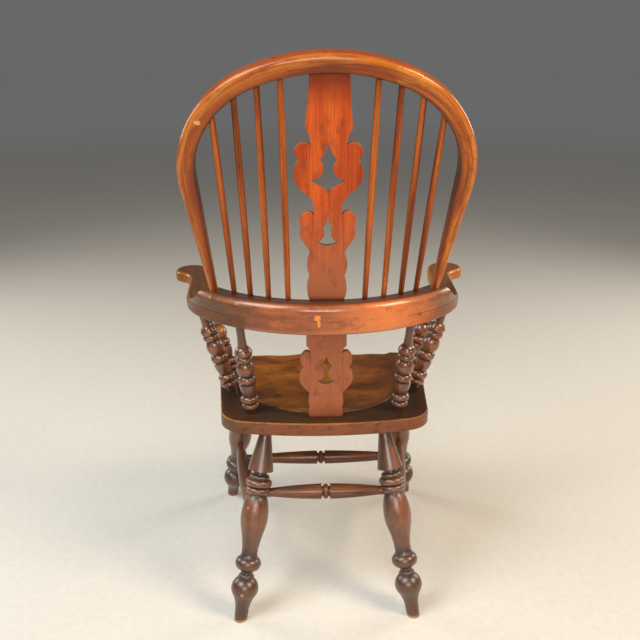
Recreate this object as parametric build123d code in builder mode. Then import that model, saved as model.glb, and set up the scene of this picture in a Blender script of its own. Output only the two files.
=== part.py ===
"""High hoop-back windsor armchair, piece by piece, in millimetres.

The chair stands on the floor at Z = 0. The sitter faces -Y, and +X is the sitter's left.
"""
import os
from math import acos, atan2, cos, degrees, hypot, radians, sin, sqrt

from build123d import *

os.makedirs("parts", exist_ok=True)

# Room left for glue all round in every joint, and how far bores start outside the wood
glue_gap = 0.12
bore_lead = 24.0

# A direction that no turned piece runs along
aside = Vector(0, 0.6, 0.8)

# Seat: one thick plank, dished, with a bevel below
seat_height = 432.0
seat_thickness = 40.0
seat_back = 174.5
seat_depth = 412.0
seat_back_half_width = 214.0
seat_front_half_width = 248.0
seat_back_bow = 27.0
seat_front_bow = 12.0
seat_back_corner = 60.0
seat_front_corner = 62.0
seat_edge_round = 5.0
seat_bevel_height = 13.0
seat_bevel_width = 24.0

# Dish of the seat: a round hollow at the back that runs out towards the front
dish_radius = 176.0
dish_back_margin = 51.0
dish_depth = 14.0
dish_wall_run = 30.0
dish_wall_depth = 9.5
dish_rim_slope = (0.55, 1.0)
dish_hip_rise = 1.0
thigh_offset = 92.0
thigh_front_depth = 8.0
pommel_front_depth = 1.5

# Sections of the dish towards the front: share of the way forward, share of the rise to the front
dish_sections = [(0.0, 0.0), (0.15, 0.0), (0.55, 0.5), (1.1, 1.0)]

# Legs: where they stand on the floor and where they enter the seat
rear_foot_half = 184.5
rear_foot_overhang = 45.0
rear_leg_top_half = 124.0
rear_leg_inset = 67.0
front_foot_half = 236.0
front_foot_overhang = 59.0
front_leg_top_half = 177.0
front_leg_inset = 70.0
leg_tenon = 26.0
leg_tenon_diameter = 26.0
leg_foot_diameter = 27.0

# Turning of a leg from the floor up: form, length, end diameter, middle diameter
leg_turning = [
    ("taper", 26.0, 29.5, None),
    ("round", 26.0, 47.0, 35.5),
    ("round", 39.0, 33.0, 57.5),
    ("round", 8.0, 26.0, 33.0),
    ("round", 9.0, 36.0, 26.0),
    ("round", 27.0, 39.0, 55.0),
    ("round", 14.0, 34.5, 34.5),
    ("taper", 5.0, 34.5, None),
    ("round", 39.0, 49.5, 40.5),
    ("round", 70.0, 45.0, 58.0),
    ("round", 8.0, 38.0, 41.0),
    ("round", 16.0, 40.0, 51.5),
    ("round", 17.0, 40.0, 56.0),
    ("round", 9.0, 30.0, 42.0),
    ("taper", 8.0, 29.0, None),
    ("taper", 1.5, 54.0, None),
]
leg_cone_straight = 14.0

# Stretchers: heights on the legs, ends and swellings
side_stretcher_front_height = 190.0
side_stretcher_rear_height = 198.0
side_stretcher_diameter = 34.0
side_stretcher_end = 18.0
middle_stretcher_share = 0.25
rear_stretcher_height = 260.0
cross_stretcher_diameter = 33.0
cross_swell_fullness = 0.86
cross_stretcher_end = 19.0
cross_bead_diameter = 32.0
cross_bead_width = 11.0
cross_groove_diameter = 22.0
cross_groove_width = 4.0
stretcher_straight = 30.0
stretcher_short_of_axis = 3.0

# Arm bow: two arms and a taller back rail lapped over their ends
arm_above_seat = 202.0
arm_thickness = 25.0
rail_above_arm = 35.0
bow_overhang = 42.0
bow_radius = 325.0
bow_width = 52.0
bow_corner_radius = 177.0
bow_corner_angle = 50.3
bow_side_angle = 86.5
seam_angle = 29.0
lap_end_angle = 69.5
lap_end_thickness = 4.0
lap_sweep_radius = 62.0
rail_top_round = 16.0
bow_under_round = 5.0
arm_top_round = 9.5

# Handhold of an arm: points along the arm from its corner, and out from its outer edge
arm_straight = 122.0
hand_hollow = (154.0, 7.0)
hand_flare = (178.0, 27.0)
hand_knuckle = (206.0, 37.0)
hand_corner = (236.0, 25.0)
hand_tip = (247.0, 0.0)
hand_inner_corner = (236.0, -28.0)
hand_inner = (204.0, -43.0)
hand_inner_slope = 0.165
arm_inner_middle = (84.0, -49.0)

# Arm posts: seat positions, then where they meet the arm
rear_post_half = 154.0
rear_post_inset = 63.0
rear_post_angle = 35.0
rear_post_arm_inset = 27.0
side_post_half = 197.0
side_post_inset = 159.0
side_post_angle = 70.0
side_post_arm_inset = 24.0
front_post_half = 205.0
front_post_inset = 272.0
front_post_along = 146.0
front_post_arm_inset = 26.0
post_foot_diameter = 21.0
post_neck_diameter = 17.0
post_foot_tenon = 21.0
post_neck_tenon = 18.0
side_post_foot = 11.0
side_post_neck = 29.0

# Turning of an arm post from the seat up: form, length, end diameter, middle diameter
post_turning = [
    ("taper", 10.0, 21.0, None),
    ("round", 14.0, 26.0, 35.5),
    ("round", 17.0, 24.0, 37.5),
    ("round", 28.0, 34.0, 32.5),
    ("taper", 1.5, 29.0, None),
    ("round", 17.0, 26.0, 37.0),
    ("round", 31.5, 25.0, 37.5),
    ("round", 14.0, 29.0, 35.5),
    ("taper", 1.0, 32.0, None),
    ("round", 11.0, 32.0, 36.5),
    ("round", 7.0, 21.0, 28.0),
    ("round", 9.0, 18.5, 19.0),
]

# Hoop: a bent bow raked back from the rail
hoop_socket_half = 221.0
hoop_socket_inset = 20.0
hoop_rake_angle = 23.5
hoop_rise = 474.5
hoop_half_width = 249.5
hoop_top_radius = 330.0
hoop_shoulder_radius = 195.0
hoop_width = 32.0
hoop_thickness = 33.0
hoop_outer_corner = 10.5
hoop_inner_corner = 5.0
hoop_end_diameter = 17.0
hoop_end_straight = 14.0
hoop_tenon = 42.0

# Spindles: four each side of the splat
spindle_count = 4
spindle_first_angle = 14.5
spindle_step_angle = 7.75
spindle_rail_inset = 32.0
spindle_first_top = 81.0
spindle_top_step = 39.0
spindle_end_diameter = 10.5
spindle_middle_diameter = 12.5
spindle_rail_tenon = 20.0
spindle_straight = 12.0

# Splats: pierced boards above and below the rail
splat_thickness = 11.0
splat_rail_inset = 37.0
splat_hoop_tenon = 8.0
splat_rail_tenon = 18.0
saw_kerf = 0.9
saw_overrun = 1.8
lower_splat_seat_inset = 36.0
lower_splat_rail_inset = 38.0
lower_splat_seat_tenon = 15.0
lower_splat_rail_tenon = 14.0

# Upper splat: half width and height above the rail at each corner of its outline
upper_foot = (33.0, 4.0)
upper_foot_swell = (37.2, 32.0)
upper_foot_notch = (31.7, 54.6)
upper_bump = (37.2, 78.0)
upper_low_neck = (30.8, 103.0)
upper_low_lobe_start = (43.5, 125.0)
upper_low_lobe = (50.6, 141.0)
upper_low_notch = (46.8, 156.5)
upper_low_ear = (50.8, 172.0)
upper_low_ear_top = (38.8, 185.0)
upper_low_crown = (31.5, 184.6)
upper_low_cusp = (25.6, 179.0)
upper_neck = (27.4, 204.8)
upper_lobe_foot = (36.0, 216.8)
upper_lobe_start = (42.3, 222.5)
upper_lobe = (60.6, 257.0)
upper_notch = (51.2, 283.2)
upper_ear = (59.0, 297.0)
upper_ear_top = (47.5, 312.0)
upper_crown = (39.5, 313.0)
upper_cusp = (31.4, 308.0)
upper_collar = (33.3, 324.0)
upper_shoulder = (40.7, 338.0)
upper_waist = (36.0, 388.0)
upper_head_half = 33.3
upper_head_straight = 5.0

# Piercings of the upper splat: an arrow with two round lobes, twice
arrow_tip = 314.0
arrow_flare = (5.5, 297.0)
arrow_barb = (15.4, 281.0)
arrow_lobe = (9.4, 261.0)
arrow_wing = (31.0, 245.8)
arrow_wing_low = (21.0, 237.2)
arrow_heel = (9.7, 231.5)
arrow_heel_curve = (3.8, 226.5)
arrow_tail = 219.5
low_arrow_tip = 174.6
low_arrow_flare = (3.5, 162.5)
low_arrow_barb = (10.1, 151.7)
low_arrow_lobe = (6.6, 138.0)
low_arrow_wing = (20.4, 126.0)
low_arrow_tail = 116.4

# Lower splat: half width and height above the seat at each corner of its outline
lower_foot = (33.0, 2.5)
lower_foot_swell = (34.8, 10.0)
lower_foot_notch = (31.2, 20.3)
lower_bump = (35.4, 39.5)
lower_neck = (32.0, 59.0)
lower_lobe_start = (43.7, 73.5)
lower_lobe = (53.4, 97.0)
lower_notch = (43.5, 121.0)
lower_ear = (51.2, 139.0)
lower_ear_top = (43.0, 157.0)
lower_crown = (36.4, 158.0)
lower_cusp = (30.9, 154.5)
lower_collar = (34.0, 165.0)
lower_shoulder = (39.2, 171.5)
lower_arrow_tip = 150.5
lower_arrow_flare = (4.2, 135.5)
lower_arrow_barb = (11.4, 124.3)
lower_arrow_lobe = (4.0, 107.0)
lower_arrow_wing = (17.6, 89.5)
lower_arrow_tail = 79.6

# Levels and edges that follow from the sizes above
seat_underside = seat_height - seat_thickness
seat_front = seat_back - seat_depth
arm_underside = seat_height + arm_above_seat
arm_top = arm_underside + arm_thickness
rail_top = arm_top + rail_above_arm
bow_back = seat_back + bow_overhang
bow_centre = bow_back - bow_radius
side_tangent = Vector(cos(radians(bow_side_angle)), -sin(radians(bow_side_angle)))
side_normal = Vector(sin(radians(bow_side_angle)), cos(radians(bow_side_angle)))


def bow_point(angle, inset, height=0.0):
    """Point of the arm bow, by its angle from straight back and its distance in from the outer edge."""
    side = 1 if angle >= 0 else -1
    turn = radians(abs(angle))
    centre = Vector(0, bow_centre, height)
    radius = bow_radius
    if abs(angle) > bow_corner_angle:
        corner = radians(bow_corner_angle)
        centre += Vector(sin(corner), cos(corner)) * (bow_radius - bow_corner_radius)
        radius = bow_corner_radius
    point = centre + Vector(sin(turn), cos(turn)) * (radius - inset)
    return Vector(side * point.X, point.Y, point.Z)


def side_point(along, out, height=0.0):
    """Point beside an arm's straight outer edge, by distance forward of its corner and out from it."""
    start = bow_point(bow_side_angle, 0, height)
    return start + side_tangent * along + side_normal * out


def bow_edge(inset, stops):
    """Edge of the bow at one inset, as an arc between each two stops."""
    for start, end in zip(stops, stops[1:]):
        middle = (start + end) / 2
        ThreePointArc(bow_point(start, inset), bow_point(middle, inset), bow_point(end, inset))


def bow_band(outer_inset, inner_inset, stops):
    """Outline of the bow between two insets and two ends."""
    bow_edge(outer_inset, stops)
    Line(bow_point(stops[-1], outer_inset), bow_point(stops[-1], inner_inset))
    bow_edge(inner_inset, stops[::-1])
    Line(bow_point(stops[0], inner_inset), bow_point(stops[0], outer_inset))


def on_side(vector, side):
    """A vector of the sitter's left side, or its mirror image on the right."""
    return Vector(side * vector.X, vector.Y, vector.Z)


def bore(mouth, inwards, depth, diameter):
    """Round socket cut into the piece being made, from outside its surface to a depth below the mouth."""
    with Locations(Plane(origin=mouth - inwards * bore_lead, z_dir=inwards).location):
        Cylinder(
            diameter / 2 + glue_gap,
            bore_lead + depth + glue_gap,
            align=(Align.CENTER, Align.CENTER, Align.MIN),
            mode=Mode.SUBTRACT,
        )


def turned(lower, upper, start_diameter, turning):
    """Piece turned about the line from lower to upper, its forms stacked from lower on."""
    along = (upper - lower).normalized()
    sideways = along.cross(aside).normalized()
    with BuildPart() as piece:
        with BuildSketch(Plane(origin=lower, x_dir=sideways, z_dir=sideways.cross(along))):
            with BuildLine():
                at = 0.0
                radius = start_diameter / 2
                Line((0, 0), (radius, 0))
                for form, length, end_diameter, middle_diameter in turning:
                    here = (radius, at)
                    there = (end_diameter / 2, at + length)
                    if form == "taper":
                        Line(here, there)
                    else:
                        ThreePointArc(here, (middle_diameter / 2, at + length / 2), there)
                    at += length
                    radius = end_diameter / 2
                Line((radius, at), (0, at))
                Line((0, at), (0, 0))
            make_face()
        revolve(axis=Axis(lower, along))
    return piece


def turning_length(turning):
    return sum(length for form, length, end_diameter, middle_diameter in turning)


def keep(piece, name):
    """Names a finished piece and writes it."""
    piece.part.label = name
    export_step(piece.part, f"parts/{name}.step")


def keep_pair(left, name):
    """Writes a piece of the sitter's left side and its mirror image on the right."""
    with BuildPart() as right:
        mirror(left.part, about=Plane.YZ)
    keep(left, f"{name}_left")
    keep(right, f"{name}_right")


# Lines that the legs, posts and stretchers follow on the sitter's left
rear_foot = Vector(rear_foot_half, seat_back + rear_foot_overhang, 0)
rear_leg_top = Vector(rear_leg_top_half, seat_back - rear_leg_inset, seat_underside)
front_foot = Vector(front_foot_half, seat_front - front_foot_overhang, 0)
front_leg_top = Vector(front_leg_top_half, seat_front + front_leg_inset, seat_underside)


def point_at_height(low, high, height):
    return low + (high - low) * ((height - low.Z) / (high.Z - low.Z))


side_front_end = point_at_height(front_foot, front_leg_top, side_stretcher_front_height)
side_rear_end = point_at_height(rear_foot, rear_leg_top, side_stretcher_rear_height)
rear_stretcher_end = point_at_height(rear_foot, rear_leg_top, rear_stretcher_height)
middle_stretcher_end = side_front_end + (side_rear_end - side_front_end) * middle_stretcher_share
side_run = (side_rear_end - side_front_end).normalized()
inwards = Vector(-1, 0, 0)

post_lines = {
    "front_arm_post": (
        Vector(front_post_half, seat_back - front_post_inset, seat_height),
        side_point(front_post_along, -front_post_arm_inset, arm_underside),
    ),
    "side_arm_post": (
        Vector(side_post_half, seat_back - side_post_inset, seat_height),
        bow_point(side_post_angle, side_post_arm_inset, arm_underside),
    ),
    "rear_arm_post": (
        Vector(rear_post_half, seat_back - rear_post_inset, seat_height),
        bow_point(rear_post_angle, rear_post_arm_inset, arm_underside),
    ),
}

# Hoop: its raked plane, and the arcs and straight legs of its centre line
socket_back = sqrt((bow_radius - hoop_socket_inset) ** 2 - hoop_socket_half**2)
hoop_base = Vector(0, bow_centre + socket_back, rail_top)
hoop_up = Vector(0, sin(radians(hoop_rake_angle)), cos(radians(hoop_rake_angle)))
hoop_plane = Plane(origin=hoop_base, x_dir=(1, 0, 0), z_dir=Vector(1, 0, 0).cross(hoop_up))
top_centre = hoop_rise - hoop_top_radius
shoulder_x = hoop_half_width - hoop_shoulder_radius
shoulder_y = top_centre + sqrt((hoop_top_radius - hoop_shoulder_radius) ** 2 - shoulder_x**2)
shoulder_turn = degrees(atan2(shoulder_y - top_centre, shoulder_x))
socket_reach = hypot(hoop_socket_half - shoulder_x, shoulder_y)
socket_turn = degrees(atan2(-shoulder_y, hoop_socket_half - shoulder_x))
leg_turn = socket_turn + degrees(acos(hoop_shoulder_radius / socket_reach))
hoop_socket = hoop_plane.from_local_coords(Vector(hoop_socket_half, 0))
hoop_leg_top = hoop_plane.from_local_coords(
    Vector(
        shoulder_x + hoop_shoulder_radius * cos(radians(leg_turn)),
        shoulder_y + hoop_shoulder_radius * sin(radians(leg_turn)),
    )
)
hoop_leg_down = (hoop_socket - hoop_leg_top).normalized()


def hoop_centre(x):
    """Point of the hoop's centre line at a distance from the middle, on the arch."""
    if x <= hoop_top_radius * cos(radians(shoulder_turn)):
        rise = top_centre + sqrt(hoop_top_radius**2 - x**2)
    else:
        rise = shoulder_y + sqrt(hoop_shoulder_radius**2 - (x - shoulder_x) ** 2)
    return hoop_plane.from_local_coords(Vector(x, rise))


spindle_lines = []
for number in range(spindle_count):
    rail_point = bow_point(spindle_first_angle + number * spindle_step_angle, spindle_rail_inset, rail_top)
    hoop_point = hoop_centre(spindle_first_top + number * spindle_top_step)
    spindle_lines.append((rail_point, hoop_point))

# Planes of the two splats, each rising from the wood that carries it
splat_base = Vector(0, bow_back - splat_rail_inset, rail_top)
splat_head = hoop_plane.from_local_coords(Vector(0, hoop_rise - hoop_width / 2))
splat_up = (splat_head - splat_base).normalized()
splat_plane = Plane(origin=splat_base, x_dir=(1, 0, 0), z_dir=Vector(1, 0, 0).cross(splat_up))
upper_splat_height = (splat_head - splat_base).length
lower_base = Vector(0, seat_back - lower_splat_seat_inset, seat_height)
lower_head = Vector(0, bow_back - lower_splat_rail_inset, arm_underside)
lower_up = (lower_head - lower_base).normalized()
lower_plane = Plane(origin=lower_base, x_dir=(1, 0, 0), z_dir=Vector(1, 0, 0).cross(lower_up))
lower_splat_height = (lower_head - lower_base).length


def mortise(plane, half_width, bottom, top):
    """Slot for a splat's end, cut into the piece being made."""
    with Locations(plane.location * Location((0, (bottom + top) / 2, 0))):
        Box(2 * (half_width + glue_gap), top - bottom, splat_thickness + 2 * glue_gap, mode=Mode.SUBTRACT)


# Seat
with BuildPart() as seat:
    with BuildSketch(Plane.XY.offset(seat_underside)) as seat_plan:
        back_corner = (seat_back_half_width, seat_back - seat_back_bow)
        front_corner = (seat_front_half_width, seat_front + seat_front_bow)
        with BuildLine():
            ThreePointArc((-back_corner[0], back_corner[1]), (0, seat_back), back_corner)
            Line(back_corner, front_corner)
            ThreePointArc(front_corner, (0, seat_front), (-front_corner[0], front_corner[1]))
            Line((-front_corner[0], front_corner[1]), (-back_corner[0], back_corner[1]))
        make_face()
        fillet(seat_plan.vertices().sort_by(Axis.Y)[-2:], seat_back_corner)
        fillet(seat_plan.vertices().sort_by(Axis.Y)[:2], seat_front_corner)
    extrude(amount=seat_thickness)
    underside = seat.faces().sort_by(Axis.Z)[0]
    chamfer(underside.edges(), seat_bevel_width, seat_bevel_height, reference=underside)
    fillet(seat.faces().sort_by(Axis.Z)[-1].edges(), seat_edge_round)

    # The hollow turns about a point in front of the back rim, and runs forward from there
    dish_centre = seat_back - dish_back_margin - dish_radius
    dish_plane = Plane(origin=(0, dish_centre, seat_height), x_dir=(1, 0, 0), z_dir=(0, -1, 0))
    with BuildSketch(dish_plane):
        with BuildLine():
            Spline(
                (0, -dish_depth),
                (thigh_offset, dish_hip_rise - dish_depth),
                (dish_radius - dish_wall_run, -dish_wall_depth),
                (dish_radius, 0),
                tangents=((1, 0), dish_rim_slope),
            )
            Polyline((dish_radius, 0), (dish_radius, dish_depth), (0, dish_depth), (0, -dish_depth))
        make_face()
    revolve(axis=Axis((0, dish_centre, 0), (0, 0, 1)), revolution_arc=180, mode=Mode.SUBTRACT)
    dish_run = dish_centre - seat_front
    for share, fade in dish_sections:
        pommel = dish_depth + (pommel_front_depth - dish_depth) * fade
        thigh = dish_depth - dish_hip_rise + (thigh_front_depth - dish_depth + dish_hip_rise) * fade
        with BuildSketch(dish_plane.offset(dish_run * share)):
            wall = dish_wall_depth * thigh / (dish_depth - dish_hip_rise)
            with BuildLine():
                Spline(
                    (0, -pommel),
                    (thigh_offset, -thigh),
                    (dish_radius - dish_wall_run, -wall),
                    (dish_radius, 0),
                    tangents=((1, 0), dish_rim_slope),
                )
                Polyline((dish_radius, 0), (dish_radius, dish_depth), (0, dish_depth))
                mirror(about=Plane.YZ)
            make_face()
    loft(mode=Mode.SUBTRACT)

    for side in (1, -1):
        for foot, top in ((rear_foot, rear_leg_top), (front_foot, front_leg_top)):
            up = (top - foot).normalized()
            bore(on_side(top, side), on_side(up, side), leg_tenon, leg_tenon_diameter)
        for base, top in post_lines.values():
            down = (base - top).normalized()
            bore(on_side(base, side), on_side(down, side), post_foot_tenon, post_foot_diameter)
    mortise(lower_plane, lower_foot[0], -lower_splat_seat_tenon - glue_gap, bore_lead)
keep(seat, "seat")


def leg(foot, top, sockets):
    """Leg turned from below the floor to its tenon, cut level at the floor and bored for its stretchers."""
    up = (top - foot).normalized()
    length = (top - foot).length
    lead = ("taper", leg_foot_diameter, leg_foot_diameter, None)
    cone_length = length - turning_length(leg_turning) - leg_cone_straight
    cone = ("taper", cone_length, leg_tenon_diameter, None)
    tenon = ("taper", leg_cone_straight + leg_tenon, leg_tenon_diameter, None)
    blank = turned(foot - up * leg_foot_diameter, top, leg_foot_diameter, [lead, *leg_turning, cone, tenon])
    with BuildPart() as piece:
        add(blank.part)
        split(bisect_by=Plane.XY, keep=Keep.TOP)
        for axis_point, outwards, diameter in sockets:
            bottom = axis_point + outwards * stretcher_short_of_axis
            bore(bottom + outwards * bore_lead, -outwards, bore_lead, diameter)
    return piece


# Legs
rear_sockets = [
    (side_rear_end, -side_run, side_stretcher_end),
    (rear_stretcher_end, inwards, cross_stretcher_end),
]
keep_pair(leg(rear_foot, rear_leg_top, rear_sockets), "rear_leg")
keep_pair(leg(front_foot, front_leg_top, [(side_front_end, side_run, side_stretcher_end)]), "front_leg")


# Side stretchers: plain swelled rounds, bored for the middle stretcher
side_length = (side_rear_end - side_front_end).length - 2 * stretcher_short_of_axis
side_swell = side_length / 2 - stretcher_straight
side_turning = [
    ("taper", stretcher_straight, side_stretcher_end, None),
    ("round", 2 * side_swell, side_stretcher_end, side_stretcher_diameter),
    ("taper", stretcher_straight, side_stretcher_end, None),
]
side_blank = turned(
    side_front_end + side_run * stretcher_short_of_axis, side_rear_end, side_stretcher_end, side_turning
)
with BuildPart() as side_stretcher:
    add(side_blank.part)
    socket_bottom = middle_stretcher_end + inwards * stretcher_short_of_axis
    bore(socket_bottom + inwards * bore_lead, -inwards, bore_lead, cross_stretcher_end)
keep_pair(side_stretcher, "side_stretcher")


def cross_stretcher(end):
    """Stretcher across the chair: it swells towards a bead between two grooves."""
    left = end + inwards * stretcher_short_of_axis
    right = Vector(-left.X, left.Y, left.Z)
    middle = cross_bead_width / 2 + cross_groove_width
    swell = left.X - middle - stretcher_straight
    turning = [
        ("taper", stretcher_straight, cross_stretcher_end, None),
        ("round", swell, cross_stretcher_diameter, cross_stretcher_diameter * cross_swell_fullness),
        ("round", cross_groove_width, cross_groove_diameter, cross_groove_diameter),
        ("round", cross_bead_width, cross_groove_diameter, cross_bead_diameter),
        ("round", cross_groove_width, cross_stretcher_diameter, cross_groove_diameter),
        ("round", swell, cross_stretcher_end, cross_stretcher_diameter * cross_swell_fullness),
        ("taper", stretcher_straight, cross_stretcher_end, None),
    ]
    return turned(left, right, cross_stretcher_end, turning)


keep(cross_stretcher(middle_stretcher_end), "middle_stretcher")
keep(cross_stretcher(rear_stretcher_end), "rear_stretcher")

# Arm posts, three each side; the side posts have a taller plain foot and longer forms
for name, (base, top) in post_lines.items():
    up = (top - base).normalized()
    post_length = (top - base).length
    forms = [("taper", post_foot_tenon, post_foot_diameter, None), *post_turning]
    if name == "side_arm_post":
        stretch = (post_length - side_post_foot - side_post_neck) / turning_length(post_turning)
        longer = [(form, span * stretch, end, middle) for form, span, end, middle in post_turning]
        forms = [("taper", post_foot_tenon + side_post_foot, post_foot_diameter, None), *longer]
    neck_length = post_foot_tenon + post_length - turning_length(forms)
    turning = [
        *forms,
        ("round", neck_length / 2, post_neck_diameter, post_neck_diameter),
        ("taper", neck_length / 2 + post_neck_tenon, post_neck_diameter, None),
    ]
    keep_pair(turned(base - up * post_foot_tenon, top, post_foot_diameter, turning), name)


# Arms: rounded from the seam to the handhold, with square top edges where the rail laps over them
with BuildPart() as arm:
    with BuildSketch(Plane.XY.offset(arm_underside)):
        inner_run = (-side_tangent - side_normal * hand_inner_slope).normalized()
        lap_run = Vector(-cos(radians(lap_end_angle)), sin(radians(lap_end_angle)))
        neck = side_point(arm_straight, 0)
        knuckle = side_point(*hand_knuckle)
        tip = side_point(*hand_tip)
        inner = side_point(*hand_inner)
        lap_inner = bow_point(lap_end_angle, bow_width)
        with BuildLine():
            bow_edge(0, [seam_angle, bow_corner_angle, bow_side_angle])
            Line(side_point(0, 0), neck)
            neck_curve = (neck, side_point(*hand_hollow), side_point(*hand_flare), knuckle)
            Spline(*neck_curve, tangents=(side_tangent, side_tangent))
            Spline(knuckle, side_point(*hand_corner), tip, tangents=(side_tangent, -side_normal))
            Spline(tip, side_point(*hand_inner_corner), inner, tangents=(-side_normal, inner_run))
            Spline(inner, side_point(*arm_inner_middle), lap_inner, tangents=(inner_run, lap_run))
            bow_edge(bow_width, [lap_end_angle, bow_corner_angle, seam_angle])
            Line(bow_point(seam_angle, bow_width), bow_point(seam_angle, 0))
        make_face()
    extrude(amount=arm_thickness)
    seam_face = arm.faces().sort_by(Axis.X)[0]
    fillet(arm.faces().sort_by(Axis.Z)[-1].edges() - seam_face.edges(), arm_top_round)
    seam_face = arm.faces().sort_by(Axis.X)[0]
    fillet(arm.faces().sort_by(Axis.Z)[0].edges() - seam_face.edges(), bow_under_round)
    with BuildSketch(Plane.XY.offset(arm_underside + arm_thickness / 2)):
        with BuildLine():
            bow_band(0, bow_width, [seam_angle, bow_corner_angle, lap_end_angle])
        make_face()
    extrude(amount=arm_thickness / 2)
    bore(hoop_socket, hoop_leg_down, hoop_tenon, hoop_end_diameter)
    for base, top in post_lines.values():
        bore(top, (top - base).normalized(), post_neck_tenon, post_neck_diameter)
keep_pair(arm, "arm")

# Back rail: full height between the arms' ends, then lapped over them and swept down
with BuildPart() as back_rail:
    rail_stops = [-lap_end_angle, -bow_corner_angle, bow_corner_angle, lap_end_angle]
    with BuildSketch(Plane.XY.offset(arm_underside)):
        with BuildLine():
            bow_band(0, bow_width, rail_stops)
        make_face()
    extrude(amount=rail_top - arm_underside)
    top_rims = back_rail.faces().sort_by(Axis.Z)[-1].edges().filter_by(GeomType.CIRCLE)
    fillet(top_rims, rail_top_round)
    under_rims = back_rail.faces().sort_by(Axis.Z)[0].edges().filter_by(GeomType.CIRCLE)
    fillet(under_rims, bow_under_round)
    seam_turn = degrees(glue_gap / (bow_radius - bow_width))
    lap_stops = [seam_angle - seam_turn, bow_corner_angle, bow_side_angle]
    with BuildSketch(Plane.XY.offset(arm_underside)):
        with BuildLine():
            bow_band(-bore_lead, bow_width + bore_lead, lap_stops)
        make_face()
        mirror(about=Plane.YZ)
    extrude(amount=arm_thickness + glue_gap, mode=Mode.SUBTRACT)
    sweep_height = arm_top + lap_end_thickness + lap_sweep_radius
    for side in (1, -1):
        lap_end = bow_point(side * lap_end_angle, bow_width / 2, sweep_height)
        outwards = bow_point(side * lap_end_angle, 0, sweep_height) - lap_end
        with Locations(Plane(origin=lap_end, z_dir=outwards).location):
            Cylinder(lap_sweep_radius, 2 * bow_width, mode=Mode.SUBTRACT)
        bore(on_side(hoop_socket, side), on_side(hoop_leg_down, side), hoop_tenon, hoop_end_diameter)
        for rail_point, hoop_point in spindle_lines:
            down = on_side((rail_point - hoop_point).normalized(), side)
            bore(on_side(rail_point, side), down, spindle_rail_tenon, spindle_end_diameter)
    mortise(splat_plane, upper_foot[0], -splat_rail_tenon - glue_gap, bore_lead)
    lower_top = lower_splat_height + lower_splat_rail_tenon + glue_gap
    mortise(lower_plane, lower_shoulder[0], lower_splat_height - bore_lead, lower_top)
keep(back_rail, "back_rail")

# Hoop: the arch swept along its arcs, its legs drawn in to round ends
with BuildPart() as hoop:
    with BuildLine(hoop_plane) as arch:
        shoulder_sweep = shoulder_turn - leg_turn
        CenterArc((shoulder_x, shoulder_y), hoop_shoulder_radius, leg_turn, shoulder_sweep)
        CenterArc((0, top_centre), hoop_top_radius, shoulder_turn, 180 - 2 * shoulder_turn)
        CenterArc((-shoulder_x, shoulder_y), hoop_shoulder_radius, 180 - shoulder_turn, shoulder_sweep)
    arch_side = hoop_leg_down.cross(hoop_plane.z_dir)
    leg_top_plane = Plane(origin=hoop_leg_top, x_dir=arch_side, z_dir=hoop_leg_down)
    with BuildSketch(leg_top_plane) as section:
        Rectangle(hoop_width, hoop_thickness)
        fillet(section.vertices().sort_by(Axis.X)[:2], hoop_outer_corner)
        fillet(section.vertices().sort_by(Axis.X)[-2:], hoop_inner_corner)
    sweep(path=arch.line)
    leg_length = (hoop_socket - hoop_leg_top).length - hoop_end_straight
    for side in (1, -1):
        top_plane = Plane(
            origin=on_side(hoop_leg_top, side),
            x_dir=on_side(arch_side, side),
            z_dir=on_side(hoop_leg_down, side),
        )
        end_round = hoop_end_diameter / 2 - glue_gap
        with BuildSketch(top_plane) as section:
            Rectangle(hoop_width, hoop_thickness)
            fillet(section.vertices().sort_by(Axis.X)[:2], hoop_outer_corner)
            fillet(section.vertices().sort_by(Axis.X)[-2:], hoop_inner_corner)
        with BuildSketch(top_plane.offset(leg_length)):
            RectangleRounded(hoop_end_diameter, hoop_end_diameter, end_round)
        loft(ruled=True)
        with BuildSketch(top_plane.offset(leg_length)):
            RectangleRounded(hoop_end_diameter, hoop_end_diameter, end_round)
        extrude(amount=hoop_end_straight + hoop_tenon)
        for rail_point, hoop_point in spindle_lines:
            run = on_side((hoop_point - rail_point).normalized(), side)
            bore(on_side(hoop_point, side) - run * bore_lead, run, bore_lead, spindle_end_diameter)
    mortise(
        splat_plane,
        upper_head_half,
        upper_splat_height - bore_lead,
        upper_splat_height + splat_hoop_tenon + glue_gap,
    )
keep(hoop, "hoop")

# Spindles
for number, (rail_point, hoop_point) in enumerate(spindle_lines, start=1):
    up = (hoop_point - rail_point).normalized()
    length = (hoop_point - rail_point).length
    hoop_end = hoop_width / 2 + spindle_straight
    rail_end = spindle_rail_tenon + spindle_straight
    turning = [
        ("taper", rail_end, spindle_end_diameter, None),
        ("round", length - spindle_straight - hoop_end, spindle_end_diameter, spindle_middle_diameter),
        ("taper", hoop_end, spindle_end_diameter, None),
    ]
    spindle = turned(rail_point - up * spindle_rail_tenon, hoop_point, spindle_end_diameter, turning)
    keep_pair(spindle, f"spindle_{number}")


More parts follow.
